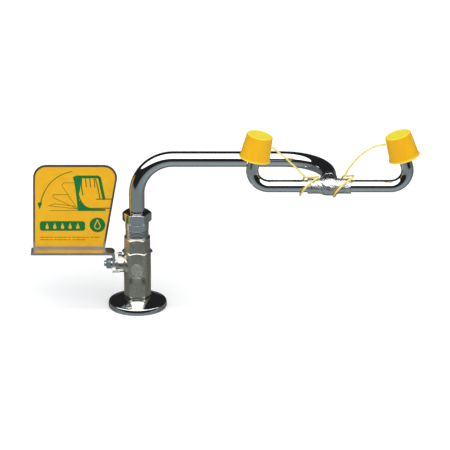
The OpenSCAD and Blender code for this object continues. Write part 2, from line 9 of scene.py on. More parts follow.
import bmesh
import bpy
import numpy as np
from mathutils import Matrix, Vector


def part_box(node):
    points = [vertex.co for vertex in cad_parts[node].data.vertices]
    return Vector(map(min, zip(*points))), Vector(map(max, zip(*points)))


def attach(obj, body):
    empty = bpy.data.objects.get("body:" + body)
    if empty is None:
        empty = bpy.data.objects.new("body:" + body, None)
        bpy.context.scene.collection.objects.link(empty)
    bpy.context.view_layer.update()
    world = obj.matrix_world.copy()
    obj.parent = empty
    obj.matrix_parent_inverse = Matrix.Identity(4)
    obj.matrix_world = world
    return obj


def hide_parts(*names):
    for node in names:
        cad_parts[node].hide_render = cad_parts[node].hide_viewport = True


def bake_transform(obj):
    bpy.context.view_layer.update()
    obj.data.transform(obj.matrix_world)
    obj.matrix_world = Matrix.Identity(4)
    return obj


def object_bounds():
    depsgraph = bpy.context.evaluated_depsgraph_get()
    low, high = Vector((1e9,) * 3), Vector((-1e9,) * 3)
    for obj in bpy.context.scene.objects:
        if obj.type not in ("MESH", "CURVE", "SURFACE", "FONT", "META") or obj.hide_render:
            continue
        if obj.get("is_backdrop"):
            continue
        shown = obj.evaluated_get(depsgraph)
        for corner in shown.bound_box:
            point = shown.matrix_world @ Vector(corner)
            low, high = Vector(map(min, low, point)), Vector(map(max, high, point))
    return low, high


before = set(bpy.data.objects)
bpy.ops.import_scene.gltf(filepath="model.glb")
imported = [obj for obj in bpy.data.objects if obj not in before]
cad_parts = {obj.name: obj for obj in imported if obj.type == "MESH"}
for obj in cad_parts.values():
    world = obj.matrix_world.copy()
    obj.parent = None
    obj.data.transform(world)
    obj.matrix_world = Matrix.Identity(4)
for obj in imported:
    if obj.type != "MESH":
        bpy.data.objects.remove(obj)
CAD_BOX = [[float(v) for v in corner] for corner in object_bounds()]
MM = 0.001
print("CAD box, mm:", [[round(v / MM, 1) for v in corner] for corner in CAD_BOX])

# %% [markdown]
# ## The camera
# A small object like this is shown from a little above with a long lens, so
# that the pipes stay parallel. The camera stands four metres off, tilts down
# by 21 degrees, and looks at a point between the valve and the spray heads.

# %% Camera
TILT = np.radians(21)
AIM = np.array([0.0914, -0.040, 0.1054])
DISTANCE = 4.0

camera = bpy.data.objects.new("camera", bpy.data.cameras.new("camera"))
bpy.context.scene.collection.objects.link(camera)
camera.location = AIM + DISTANCE * np.array([0, -np.cos(TILT), np.sin(TILT)])
camera.rotation_euler = (np.pi / 2 - TILT, 0, 0)
camera.data.sensor_width = 36
camera.data.lens = 311.2
camera.data.clip_end = 50
bpy.context.scene.camera = camera
print("camera at", [round(v, 3) for v in camera.location])

# %% [markdown]
# ## One way to make a surface
# Nearly every piece here is a grid of points: one parameter runs round the
# piece, the other runs along it. Whole numpy arrays hold the points, so the
# formula of a piece can be read in one line. The helper joins neighbours into
# quads, closes seams and poles by merging points that coincide, and marks an
# edge as sharp only where the two faces meet at a real corner.

# %% Grids to meshes
def grid_faces(shape, closed_u, closed_v, first):
    """Quads (i, j), (i+1, j), (i+1, j+1), (i, j+1) of a grid, numbered from first."""
    index = first + np.arange(shape[0] * shape[1]).reshape(shape[:2])
    if closed_u:
        index = np.vstack([index, index[:1]])
    if closed_v:
        index = np.hstack([index, index[:, :1]])
    corners = [index[:-1, :-1], index[1:, :-1], index[1:, 1:], index[:-1, 1:]]
    return np.stack(corners, axis=-1).reshape(-1, 4)


def make_piece(name, *grids, sharp=40):
    """One mesh object, in metres, from grids given as (points in mm, closed_u, closed_v)."""
    points, faces, first = [], [], 0
    for grid, closed_u, closed_v in grids:
        points.append(grid.reshape(-1, 3) * MM)
        faces.append(grid_faces(grid.shape, closed_u, closed_v, first))
        first += points[-1].shape[0]
    mesh = bpy.data.meshes.new(name)
    mesh.from_pydata(np.vstack(points).tolist(), [], np.vstack(faces).tolist())
    soft = bmesh.new()
    soft.from_mesh(mesh)
    bmesh.ops.remove_doubles(soft, verts=soft.verts, dist=2e-7)
    bmesh.ops.dissolve_degenerate(soft, edges=soft.edges, dist=1e-8)
    bmesh.ops.recalc_face_normals(soft, faces=soft.faces)
    soft.to_mesh(mesh)
    soft.free()
    mesh.shade_smooth()
    mesh.set_sharp_from_angle(angle=np.radians(sharp))
    piece = bpy.data.objects.new(name, mesh)
    bpy.context.scene.collection.objects.link(piece)
    print(f"{name}: {len(mesh.vertices)} points, {len(mesh.polygons)} faces")
    return piece

# %% [markdown]
# ## Tubes and cords
# A pipe, a spray tube and a tether are all the same surface: a circle carried
# along a line. The two side directions are carried from point to point, so the
# circle never spins round the line.

# %% Circles along a line
def carried_frames(path):
    """Unit tangent t and sides n, b of each path point, with n kept as straight as t allows."""
    t = np.gradient(path, axis=0)
    t /= np.linalg.norm(t, axis=1, keepdims=True)
    n = np.empty_like(t)
    side = np.cross(t[0], [0.0, 1.0, 0.0] if abs(t[0][1]) < 0.9 else [1.0, 0.0, 0.0])
    for i, way in enumerate(t):
        side = side - way * side.dot(way)
        side = side / np.linalg.norm(side)
        n[i] = side
    return t, n, np.cross(t, n)


def tube(path, radius, sides=48):
    """p(u, v) = path(u) + radius(u) (n cos v + b sin v), closed by a point at each end."""
    t, n, b = carried_frames(path)
    radius = np.broadcast_to(np.asarray(radius, float), len(path))
    radius = np.concatenate([[0.0], radius, [0.0]])[:, None, None]
    path, n, b = (np.vstack([a[:1], a, a[-1:]])[:, None] for a in (path, n, b))
    v = np.linspace(0, 2 * np.pi, sides, endpoint=False)[None, :, None]
    return path + radius * (n * np.cos(v) + b * np.sin(v)), False, True


def smooth_line(points, steps=6):
    """Catmull-Rom line: a cubic through each pair of points that heads for their neighbours."""
    p = np.vstack([2 * points[0] - points[1], points, 2 * points[-1] - points[-2]])
    a, b, c, d = (p[i:len(p) - 3 + i, None] for i in range(4))
    s = np.linspace(0, 1, steps, endpoint=False)[None, :, None]
    line = 0.5 * (2 * b + (c - a) * s + (2 * a - 5 * b + 4 * c - d) * s**2
                  + (3 * b - a - 3 * c + d) * s**3)
    return np.vstack([line.reshape(-1, 3), points[-1:]])

# %% [markdown]
# ## The cap tethers
# Each cap hangs on a thin moulded cord. It leaves the cap's side, crosses to
# the tee in a free sagging span, winds round the tee once, and its tip is
# pulled through under the turn. The cord is a mesh tube, not a curve.

# %% Tether routes
TEE = np.array([197.0, -80.0, 163.0])
TETHER_D = 1.9
SPANS = {
    "left": [[-57.9, 0, 41.6], [-55.6, -0.3, 40], [-51.7, -0.8, 36.7], [-45.2, -1.4, 31.6],
             [-39.6, -1.6, 26], [-34.4, -1.4, 20.8], [-29, -0.8, 15]],
    "right": [[56.6, 0, 44.6], [54, -0.3, 44.7], [48, -0.8, 43.6], [41.2, -1.2, 40.8],
              [34.6, -1.5, 36.6], [28.4, -1.6, 31], [23.4, -1.4, 24.8], [19, -1, 18.2]],
}
# Each turn round the tee: distance along it, and the angle from its top.
TURNS = {
    "left": [[-24.6, -8], [-25.2, -40], [-26.4, -72], [-27.6, -104], [-28.6, -136],
             [-29.2, -168], [-29.4, -200], [-28.8, -232], [-26.6, -262], [-22.8, -290],
             [-18, -316], [-13.4, -340], [-10.8, -362], [-12, -384], [-16, -396],
             [-20, -400], [-22.9, -400]],
    "right": [[15.6, -8], [14.4, -40], [12.6, -72], [10.6, -104], [8.6, -136], [6.6, -168],
              [4.8, -200], [4.4, -226], [6.6, -254], [10.4, -280], [15, -304], [20, -326],
              [23.8, -346], [24.8, -366], [22.8, -384], [19.6, -392], [16.9, -396]],
}
TURN_RADIUS = {"left": 9.4, "right": 10.7}


def tether_line(side):
    """Span, then the turn (x, -r sin a, r cos a), both from the tee's centre, in mm."""
    x, angle = np.array(TURNS[side], float).T
    angle, r = np.radians(angle), TURN_RADIUS[side]
    turn = np.stack([x, -r * np.sin(angle), r * np.cos(angle)], axis=1)
    return TEE + np.vstack([np.array(SPANS[side], float), turn])


tethers = {}
for side in ("left", "right"):
    line = smooth_line(tether_line(side), 4)
    fullness = np.full(len(line), TETHER_D / 2)
    fullness[-3:] *= 1.18
    piece = make_piece(f"tether_cord_{side}", tube(line, fullness, 14), sharp=80)
    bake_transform(piece)
    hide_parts(f"tether_{side}")
    tethers[side] = piece

# %% [markdown]
# ## Writing shader maths as arithmetic
# Every finish below is a small formula. A wire stands for one output of a
# node; adding or multiplying wires makes the Math nodes, so the formula in the
# script reads like the formula on paper.

# %% Wires and recipes
class Wire:
    """One output socket. Arithmetic on wires makes Math nodes in the same tree."""

    def __init__(self, recipe, socket):
        self.recipe, self.socket = recipe, socket

    def math(self, operation, *values):
        """A Math node of that operation on those values."""
        return self.recipe.node("ShaderNodeMath", {"operation": operation},
                                **{f"in{i}": v for i, v in enumerate(values)})

    def __add__(self, other): return self.math("ADD", self, other)
    def __radd__(self, other): return self.math("ADD", other, self)
    def __sub__(self, other): return self.math("SUBTRACT", self, other)
    def __rsub__(self, other): return self.math("SUBTRACT", other, self)
    def __mul__(self, other): return self.math("MULTIPLY", self, other)
    def __rmul__(self, other): return self.math("MULTIPLY", other, self)
    def __truediv__(self, other): return self.math("DIVIDE", self, other)
    def __rtruediv__(self, other): return self.math("DIVIDE", other, self)
    def __pow__(self, other): return self.math("POWER", self, other)
    def __neg__(self): return self.math("MULTIPLY", self, -1.0)
    def __abs__(self): return self.math("ABSOLUTE", self)

    def ramp(self, low, high):
        """0 at low, 1 at high, held beyond both: clamp((x - low) / (high - low))."""
        made = (self - low) / (high - low)
        made.socket.node.use_clamp = True
        return made


class Recipe:
    """A node tree being filled. node() reaches every kind of node."""

    def __init__(self, tree):
        self.tree = tree
        tree.nodes.clear()

    def node(self, kind, settings=None, output=0, **inputs):
        """A node with those settings; inputs go by name with _ for a space, or in0, in1."""
        made = self.tree.nodes.new(kind)
        for key, value in (settings or {}).items():
            setattr(made, key, value)
        for key, value in inputs.items():
            if key[:2] == "in" and key[2:].isdigit():
                spot = made.inputs[int(key[2:])]
            else:
                spot = next(s for s in made.inputs
                            if key in (s.identifier, s.name.replace(" ", "_")))
            if isinstance(value, Wire):
                self.tree.links.new(value.socket, spot)
            else:
                spot.default_value = value
        if isinstance(output, str):
            return Wire(self, next(s for s in made.outputs if output in (s.identifier, s.name)))
        return Wire(self, made.outputs[output]) if len(made.outputs) else made


def mixed(recipe, share, first, second):
    """Colour between first and second: first + share (second - first)."""
    return recipe.node("ShaderNodeMix", {"data_type": "RGBA"}, "Result_Color",
                       Factor_Float=share, A_Color=first, B_Color=second)


def grain(recipe, where, scale, detail=3.0, roughness=0.55):
    """Seedless three-dimensional noise, about 0.5 on average."""
    return recipe.node("ShaderNodeTexNoise", {"noise_dimensions": "3D"}, 0, Vector=where,
                       Scale=scale, Detail=detail, Roughness=roughness)


def place(recipe):
    """Where a point is on the finished object, in metres."""
    return recipe.node("ShaderNodeTexCoord", {}, "Object")


def stretched(recipe, where, x, y, z):
    """The same place with each axis scaled, for a grain that runs one way."""
    return recipe.node("ShaderNodeMapping", {}, 0, Vector=where, Scale=(x, y, z))


def bumped(recipe, height, depth, strength=1.0):
    """A normal tilted by the slope of height, depth metres from lowest to highest."""
    return recipe.node("ShaderNodeBump", {}, 0, Strength=strength, Distance=depth, Height=height)


def new_finish(name):
    """An empty material and the recipe that fills it."""
    finish = bpy.data.materials.new(name)
    finish.use_nodes = True
    return finish, Recipe(finish.node_tree)


def coat(recipe, **inputs):
    """Sends a Principled surface to the output."""
    surface = recipe.node("ShaderNodeBsdfPrincipled", {}, 0, **inputs)
    recipe.node("ShaderNodeOutputMaterial", {}, 0, Surface=surface)

# %% [markdown]
# ## Polished chrome plate
# Plated pipe is a mirror. What makes it read as real is how faintly it fails:
# wiping leaves slightly duller smears a few centimetres long, and the polish
# under the plate has a very shallow waviness.

# %% Chrome
chrome, r = new_finish("polished_chrome")
where = place(r)
smear = grain(r, stretched(r, where, 18, 40, 60), 1.0, 4.0, 0.6)
speck = grain(r, where, 900.0, 2.0)
coat(r, Base_Color=mixed(r, smear.ramp(0.35, 0.75), (0.80, 0.83, 0.84, 1), (0.74, 0.77, 0.79, 1)),
     Metallic=1.0, Roughness=0.035 + smear.ramp(0.4, 0.9) * 0.05 + speck * 0.01,
     Normal=bumped(r, grain(r, where, 55.0, 1.0), 0.00006, 0.35))
print("polished chrome:", len(chrome.node_tree.nodes), "nodes")

# %% [markdown]
# ## Chrome over a casting
# The tee is cast and plated without much polishing, so the plate follows the
# sand's bumps. The same chrome lies over a coarse bump, and the high spots are
# a little brighter where they were buffed.

# %% Cast chrome
cast_chrome, r = new_finish("cast_chrome")
where = place(r)
sand = grain(r, where, 260.0, 4.0, 0.65)
lump = grain(r, where, 90.0, 2.0)
coat(r, Base_Color=mixed(r, sand.ramp(0.3, 0.6), (0.56, 0.57, 0.60, 1), (0.92, 0.93, 0.94, 1)),
     Metallic=1.0, Roughness=0.14 + sand * 0.18,
     Normal=bumped(r, sand * 1.1 + lump * 0.8, 0.0012, 1.0))
print("cast chrome:", len(cast_chrome.node_tree.nodes), "nodes")

# %% [markdown]
# ## Nickel over forged brass
# The valve is hot-forged brass with a satin nickel plate: greyish olive, with
# soft fine pits, a slightly yellow cast where the plate is thin, and a raised
# plain ring round a grid of dots on the front flat, as a forging die leaves.

# %% Forged nickel
MARK_Z, MARK_R, DOT_WAVES = 0.0435, 0.0074, 3900.0
nickel, r = new_finish("forged_nickel")
where = place(r)
split = r.node("ShaderNodeSeparateXYZ", {}, 0, Vector=where).socket.node
along, front, up = (Wire(r, s) for s in split.outputs)
pits = grain(r, where, 700.0, 4.0, 0.6)
cloud = grain(r, where, 60.0, 3.0)
across = (along**2 + (up - MARK_Z)**2)**0.5
ridge = 1.0 - abs(across - MARK_R).ramp(0.0004, 0.0011)
rows = up.math("SINE", up * DOT_WAVES) * along.math("SINE", along * DOT_WAVES)
dots = rows.ramp(0.15, 0.45) * (1.0 - across.ramp(MARK_R - 0.0018, MARK_R - 0.0012))
mark = (ridge + dots) * (-front).ramp(0.0120, 0.0130) * pits.ramp(0.30, 0.55)
tone = mixed(r, pits.ramp(0.35, 0.65), (0.60, 0.575, 0.47, 1), (0.88, 0.85, 0.71, 1))
coat(r, Base_Color=mixed(r, mark * 0.9, tone, (0.92, 0.90, 0.82, 1)),
     Metallic=1.0, Roughness=0.24 + pits * 0.12,
     Normal=bumped(r, pits * 0.16 + cloud * 0.5 + mark * 0.9, 0.00042, 0.7))
print("forged nickel:", len(nickel.node_tree.nodes), "nodes")

# %% [markdown]
# ## Brushed stainless strip and sheet
# The handle is bent from brushed strip, so the scratches run along it. The
# noise is stretched thirty times along the strip to give the same lines in
# both colour and roughness.

# %% Brushed steel
stainless, r = new_finish("brushed_stainless")
where = place(r)
brush = grain(r, stretched(r, where, 40, 1500, 1500), 1.0, 3.0, 0.7)
blotch = grain(r, where, 45.0, 2.0)
coat(r, Base_Color=mixed(r, blotch.ramp(0.3, 0.7), (0.80, 0.80, 0.76, 1), (0.93, 0.93, 0.89, 1)),
     Metallic=1.0, Roughness=0.26 + brush * 0.18,
     Normal=bumped(r, brush, 0.00004, 0.5))

# painted shade: the flag's sheet steel is painted dark, for the dark reflection along its border
flag_steel_painted_shade, r = new_finish("flag_sheet_steel")
where = place(r)
mill = grain(r, stretched(r, where, 900, 900, 60), 1.0, 3.0, 0.7)
patch = grain(r, where, 35.0, 3.0)
coat(r, Base_Color=mixed(r, patch.ramp(0.3, 0.7), (0.30, 0.27, 0.26, 1), (0.42, 0.38, 0.36, 1)),
     Metallic=1.0, Roughness=0.26 + mill * 0.16,
     Normal=bumped(r, mill, 0.00004, 0.5))
print("brushed finishes:", stainless.name, flag_steel_painted_shade.name)

# %% [markdown]
# ## Zinc-plated fasteners
# The stem, its nut and the gland are zinc-plated steel, cooler and bluer than
# stainless, with a faint yellow-blue passivation cloud and turned rings.

# %% Zinc
zinc, r = new_finish("zinc_plate")
where = place(r)
cloud = grain(r, where, 300.0, 3.0)
turned = grain(r, stretched(r, where, 2500, 120, 120), 1.0, 2.0)
coat(r, Base_Color=mixed(r, cloud.ramp(0.35, 0.65), (0.50, 0.55, 0.62, 1), (0.70, 0.72, 0.72, 1)),
     Metallic=1.0, Roughness=0.09 + turned * 0.12,
     Normal=bumped(r, turned, 0.00004, 0.6))
print("zinc:", len(zinc.node_tree.nodes), "nodes")

# %% [markdown]
# ## Seals and seats
# Inside, white fluoropolymer seats hold the ball and black rubber rings seal
# the swivel. They are hidden when the piece is whole, but they still get the
# waxy and the matt look that they have on a bench.

# %% Seal materials
ptfe, r = new_finish("seat_ptfe")
where = place(r)
wax = grain(r, where, 400.0, 2.0)
coat(r, Base_Color=mixed(r, wax, (0.86, 0.86, 0.82, 1), (0.93, 0.93, 0.90, 1)),
     Roughness=0.38 + wax * 0.14, Normal=bumped(r, wax, 0.00003, 0.4))

rubber, r = new_finish("seal_rubber")
where = place(r)
bloom = grain(r, where, 350.0, 3.0)
coat(r, Base_Color=mixed(r, bloom.ramp(0.4, 0.8), (0.018, 0.018, 0.019, 1), (0.05, 0.05, 0.05, 1)),
     Roughness=0.62 + bloom * 0.2, Normal=bumped(r, bloom, 0.00005, 0.5))
print("seal finishes:", ptfe.name, rubber.name)

# %% [markdown]
# ## Moulded polyethylene
# The caps are soft yellow polyethylene: a fine spark-eroded grain, a slow
# change of tone where the wall thickness varies, and light that enters a
# little way in. The crown is painted paler and more lemon than the sides: a
# painted highlight for the strong light from above. The thin lip is painted
# lighter too: a painted glow of light through the thin plastic.

# %% Cap and tether plastic
cap_yellow, r = new_finish("cap_polyethylene")
where = place(r)
flow = grain(r, stretched(r, where, 40, 40, 16), 1.0, 3.0)
spark = grain(r, where, 1400.0, 2.0)
side_tone = mixed(r, flow.ramp(0.3, 0.75), (0.84, 0.42, 0.002, 1), (0.90, 0.52, 0.004, 1))
# painted glow: the thin lip is painted lighter yellow, for light shining through it
lip = r.node("ShaderNodeAttribute", {"attribute_name": "lip_share"}, "Fac")
crown = r.node("ShaderNodeAttribute", {"attribute_name": "crown_share"}, "Fac")
# painted highlight: the crown's top is painted paler lemon, for the light from above
moulded = mixed(r, crown, side_tone, (0.88, 0.74, 0.05, 1))
coat(r, Base_Color=mixed(r, lip, moulded, (0.92, 0.72, 0.08, 1)),
     Roughness=0.36 + spark * 0.12, Specular_IOR_Level=0.3, Subsurface_Weight=0.12,
     Subsurface_Radius=(1.0, 0.55, 0.1), Subsurface_Scale=0.002,
     Normal=bumped(r, spark, 0.00003, 0.5))

tether_yellow, r = new_finish("tether_plastic")
where = place(r)
pull = grain(r, where, 220.0, 3.0)
high_up = r.node("ShaderNodeSeparateXYZ", {}, 2, Vector=where)
unshaded_tone = mixed(r, pull.ramp(0.3, 0.7), (0.82, 0.67, 0.11, 1), (0.90, 0.79, 0.24, 1))
# painted shade: below 166 mm, under the tee, the cord is painted brown for the shade there
coat(r, Base_Color=mixed(r, high_up.ramp(0.166, 0.154) * 0.8, unshaded_tone, (0.46, 0.27, 0.035, 1)),
     Roughness=0.34 + pull * 0.14, Subsurface_Weight=0.15,
     Subsurface_Radius=(1.0, 0.7, 0.25), Subsurface_Scale=0.001,
     Normal=bumped(r, pull, 0.00003, 0.5))
for piece in tethers.values():
    piece.data.materials.append(tether_yellow)
print("plastics:", cap_yellow.name, tether_yellow.name)

# %% [markdown]
# ## Finishes for the CAD pieces that stay
# Small turned and stamped pieces are already right as they come. Each keeps
# its own solid and gets its finish by name.

# %% Finishes on the frame
KEPT = {
    "valve_ball": chrome, "swivel_collar": chrome,
    "lower_seat": ptfe, "upper_seat": ptfe, "body_seal": ptfe, "stem_packing": ptfe,
    "swivel_washer": ptfe, "stem_thrust_washer": ptfe,
    "swivel_rings": rubber, "valve_stem": zinc, "gland_nut": zinc, "stem_washer": zinc,
    "stem_nut": zinc, "handle_bracket": stainless, "flag_plate": flag_steel_painted_shade,
}
for side in ("left", "right"):
    KEPT.update({f"spray_head_{side}": chrome, f"spray_plate_{side}": stainless,
                 f"head_screen_{side}": stainless, f"flow_regulator_{side}": rubber,
                 f"head_ring_{side}": rubber})
for node, finish in KEPT.items():
    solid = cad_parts[node]
    if not solid.material_slots:
        solid.data.materials.append(finish)
    for spot in solid.material_slots:
        spot.material = finish
print(len(KEPT), "CAD pieces keep their solid")

# %% [markdown]
# ## Turned pieces
# A flange, a cap or a threaded barrel is one outline turned round an axis.
# The outline is drawn as a few corners, and each corner is then rounded by a
# short arc with two close points beside it, so that flats stay flat and the
# edge catches a thin line of light as a real broken edge does.

# %% Rounded outlines and turning
def eased(outline, radius, steps=5, closed=True):
    """Each corner c becomes (1-s)^2 a + 2s(1-s) c + s^2 b, with a and b set back by radius."""
    c = np.asarray(outline, float)
    before, after = np.roll(c, 1, axis=0) - c, np.roll(c, -1, axis=0) - c
    length_a = np.linalg.norm(before, axis=1, keepdims=True)
    length_b = np.linalg.norm(after, axis=1, keepdims=True)
    radius = np.broadcast_to(np.asarray(radius, float), len(c))[:, None]
    back = np.minimum(radius, 0.45 * np.minimum(length_a, length_b))
    a, b = c + before / length_a * back, c + after / length_b * back
    a_far, b_far = c + before / length_a * back * 1.08, c + after / length_b * back * 1.08
    s = np.linspace(0, 1, steps)[None, :, None]
    arc = (1 - s)**2 * a[:, None] + 2 * s * (1 - s) * c[:, None] + s**2 * b[:, None]
    arc = np.concatenate([a_far[:, None], arc, b_far[:, None]], axis=1)
    if not closed:
        arc[0], arc[-1] = c[0], c[-1]
    return arc.reshape(-1, 2)


def turned_piece(outline, origin, axis, steps=160, closed=True):
    """p(u, v) = origin + h(v) axis + r(v) (side cos u + other sin u), outline rows (r, h)."""
    axis = np.asarray(axis, float) / np.linalg.norm(axis)
    side = np.cross(axis, [0.0, 1.0, 0.0] if abs(axis[1]) < 0.9 else [1.0, 0.0, 0.0])
    side /= np.linalg.norm(side)
    other = np.cross(axis, side)
    u = np.linspace(0, 2 * np.pi, steps, endpoint=False)[:, None, None]
    radius, height = outline[None, :, :1], outline[None, :, 1:]
    grid = np.asarray(origin, float) + height * axis + radius * (side * np.cos(u)
                                                                 + other * np.sin(u))
    return grid, True, closed


def arc_between(centre, radius, first, last, count):
    """Points centre + radius (cos a, sin a) from angle first to last, in degrees."""
    a = np.radians(np.linspace(first, last, count))
    return np.stack([centre[0] + radius * np.cos(a), centre[1] + radius * np.sin(a)], axis=1)

# %% [markdown]
# ## The deck flange
# A spun or turned rosette covers the hole in the counter. Its top is a shallow
# dome, then a bright broken edge, a vertical rim with one fine groove, and a
# flat foot. The whole outline is turned round the valve's axis as one closed
# shape.

# %% Flange
lowest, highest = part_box("deck_flange")
FLANGE_R = (highest.x - lowest.x) / 2 / MM
DOME_EDGE, DOME_RISE, CROWN = FLANGE_R - 2.2, 6.4, 13.0
NECK_R, THREAD_BORE, THREAD_DEEP, WATER_R, FLANGE_H = 10.7, 9.1, 11.0, 6.2, 14.0
dome_r = (DOME_EDGE**2 + DOME_RISE**2) / (2 * DOME_RISE)
foot_angle = np.degrees(np.arccos(DOME_EDGE / dome_r))
neck_angle = np.degrees(np.arccos(NECK_R / dome_r))
dome = arc_between((0, CROWN - dome_r), dome_r, neck_angle, foot_angle, 28)
rim = eased([[FLANGE_R - 1.9, 6.5], [FLANGE_R - 0.95, 6.38], [FLANGE_R - 0.45, 5.9],
             [FLANGE_R - 0.1, 4.3], [FLANGE_R, 3.4], [FLANGE_R, 1.7],
             [FLANGE_R - 0.45, 1.1], [FLANGE_R - 0.45, 0.3], [FLANGE_R - 0.8, 0.0]],
            0.25, closed=False)
inside = np.array([[THREAD_BORE, 0.0], [THREAD_BORE, THREAD_DEEP], [WATER_R, THREAD_DEEP],
                   [WATER_R, FLANGE_H], [NECK_R, FLANGE_H]])
flange = make_piece("flange_rosette", turned_piece(np.vstack([dome, rim, inside]),
                                                   (0, 0, 0), (0, 0, 1), 220))
flange.data.materials.append(chrome)
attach(flange, "base")
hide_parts("deck_flange")

# %% [markdown]
# ## Wrench flats
# A hexagon seen from above is the smallest of three distances: the radius to
# each pair of flats. Taking a smooth smallest rounds its corners by a chosen
# amount, and taking it once more with a circle or a cone gives the round parts
# and the turned chamfers of a nut, with the curved edge where cone meets flat.

# %% Hexagon radius
def softest(a, b, width):
    """Smooth smallest of a and b, rounded over width."""
    share = np.clip(0.5 + 0.5 * (b - a) / width, 0, 1)
    return b * (1 - share) + a * share - width * share * (1 - share)


def hexagon(angle, flats, width=0.5):
    """Radius of a hexagon with flats facing +Y and -Y: least of (flats / 2) / cos(angle off)."""
    made = np.full_like(angle, 99.0)
    for turn in (30, 90, 150, 210, 270, 330):
        off = np.cos(angle - np.radians(turn))
        made = softest(made, np.where(off > 0.2, flats / 2 / np.maximum(off, 0.2), 99.0), width)
    return made


def milled(angle, flats, half_width, width=0.5):
    """The hexagon with its two side corners milled off at x = half_width."""
    off = np.maximum(np.abs(np.cos(angle)), 0.2)
    return softest(hexagon(angle, flats, width), half_width / off, width)


AROUND = np.linspace(0, 2 * np.pi, 480, endpoint=False)


def ring_of(radius):
    """The same radius all the way round."""
    return np.full_like(AROUND, radius)


def stacked(radii, heights):
    """p(u, v) = (r(u, v) cos u, r(u, v) sin u, z(v)) for rings of radii."""
    radii = np.stack([np.broadcast_to(r, AROUND.shape) for r in radii], axis=1)
    z = np.broadcast_to(np.asarray(heights, float)[None, :], radii.shape)
    angle = AROUND[:, None]
    return np.stack([radii * np.cos(angle), radii * np.sin(angle), z], axis=-1), True, True

# %% [markdown]
# ## The valve body
# The lower part is a wrench hexagon; above it the forging turns nearly round,
# to give the ball its room. The section is mixed from the one shape to the
# other over eight and a half millimetres. The boss for the stem stands out to the left with
# a filleted root, and carries the small lug that stops the handle.

# %% Valve body
BODY_Z, RING_Z, STEM_Z, BORE_R = 14.0, 60.3, 47.2, 6.4
BODY_AF, HALF_WIDTH, ROUND_R, TURN_Z, TURN_H = 28.0, 14.0, 14.75, 28.5, 8.5
rise = np.concatenate([BODY_Z + np.array([0.0, 0.15, 0.4, 0.8]), np.linspace(15.2, 28.0, 8),
                       np.linspace(TURN_Z, TURN_Z + TURN_H, 24), np.linspace(37.6, 59.2, 12),
                       RING_Z - np.array([0.6, 0.3, 0.1, 0.0])])
flats_here = milled(AROUND, BODY_AF, HALF_WIDTH)
round_here = softest(milled(AROUND, BODY_AF, HALF_WIDTH, 2.4) + 0.35, ring_of(ROUND_R), 1.2)
turn_round = np.clip((rise - TURN_Z) / TURN_H, 0, 1)
turn_round = turn_round**2 * (3 - 2 * turn_round)
chamfer = np.minimum(14.9 + (rise - BODY_Z) * 1.3, 14.6 + (RING_Z - rise) * 1.2)
rings = [softest(flats_here * (1 - k) + round_here * k, ring_of(c), 0.4)
         for k, c in zip(turn_round, chamfer)]
body_rings = stacked([ring_of(BORE_R)] + rings + [ring_of(BORE_R)],
                     [BODY_Z] + list(rise) + [RING_Z])
boss_outline = eased([[6.7, 9.5], [11.6, 9.5], [10.6, 12.4], [9.3, 14.2], [9.1, 15.5],
                      [9.1, 20.0], [6.7, 20.0]], [0.1, 0.1, 1.6, 1.6, 1.0, 0.7, 0.2])
boss = turned_piece(boss_outline, (0, 0, STEM_Z), (-1, 0, 0), 120)


def cushion_block(low, high, radius, count=28):
    """Rounded block: corner point of the core box plus radius times a unit direction."""
    low, high = np.asarray(low, float) + radius, np.asarray(high, float) - radius
    turn = (np.arange(count * 2) + 0.5) * np.pi / count
    lean = np.concatenate([[-np.pi / 2], (np.arange(count) + 0.5) * np.pi / count - np.pi / 2,
                           [np.pi / 2]])
    way = np.stack([np.cos(turn)[:, None] * np.cos(lean), np.sin(turn)[:, None] * np.cos(lean),
                    np.broadcast_to(np.sin(lean), (len(turn), len(lean)))], axis=-1)
    corner = np.where(way > 0, high, low)
    corner[:, [0, -1], :2] = (low[:2] + high[:2]) / 2
    return corner + radius * way, True, False


lug = cushion_block((-20.0, -2.25, STEM_Z + 8.0), (-16.0, 2.25, STEM_Z + 12.0), 0.55)
valve = make_piece("valve_forging", body_rings, boss, lug, sharp=50)
valve.data.materials.append(nickel)
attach(valve, "base")
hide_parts("valve_body")

# %% [markdown]
# ## The end piece
# The end piece screws into the body after the ball is in. Its lower ring is a
# full hexagon with a bright turned chamfer, and the smaller hexagon above it
# takes the wrench.

# %% Valve end
END_Z, TOP_Z, RING_AF, END_AF, MOUTH_R = 63.3, 77.8, 28.6, 27.0, 9.35
ring_hex, end_hex = hexagon(AROUND, RING_AF, 0.4), milled(AROUND, END_AF, END_AF / 2, 0.4)
# Rows of (largest radius, height over the piece's foot): the cones that trim each hexagon.
ring_rows = np.array([(BORE_R, 0), (15.1, 0), (15.5, 0.15), (15.9, 0.4), (16.1, 0.9),
                      (16.1, 1.0), (15.6, 1.4), (15.0, 1.9), (14.4, 2.4), (13.9, 2.8)])
end_rows = np.array([(13.45, 0.02), (15.6, 0.1), (15.6, 0.6), (15.6, 6.7), (15.6, 12.9),
                     (15.2, 13.0), (14.6, 13.4), (14.0, 13.8), (13.4, 14.2), (12.9, 14.48)])
radii = [softest(ring_hex, ring_of(c), 0.15) for c in ring_rows[:, 0]]
radii += [softest(end_hex, ring_of(c), 0.25) for c in end_rows[:, 0]]
radii += [ring_of(12.5), ring_of(MOUTH_R), ring_of(MOUTH_R)]
heights = np.concatenate([RING_Z + ring_rows[:, 1], END_Z + end_rows[:, 1],
                          [TOP_Z, TOP_Z, RING_Z + 0.7]])
valve_end = make_piece("valve_end_piece", stacked(radii, heights), sharp=50)
valve_end.data.materials.append(nickel)
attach(valve_end, "base")
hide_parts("valve_end")

# %% [markdown]
# ## The swivel adapter
# Between the valve and the swivel nut stands a chromed barrel. Its lower half
# shows the last turns of a thread, drawn here as a wave in the radius, and its
# upper half is a plain band with a broken edge.

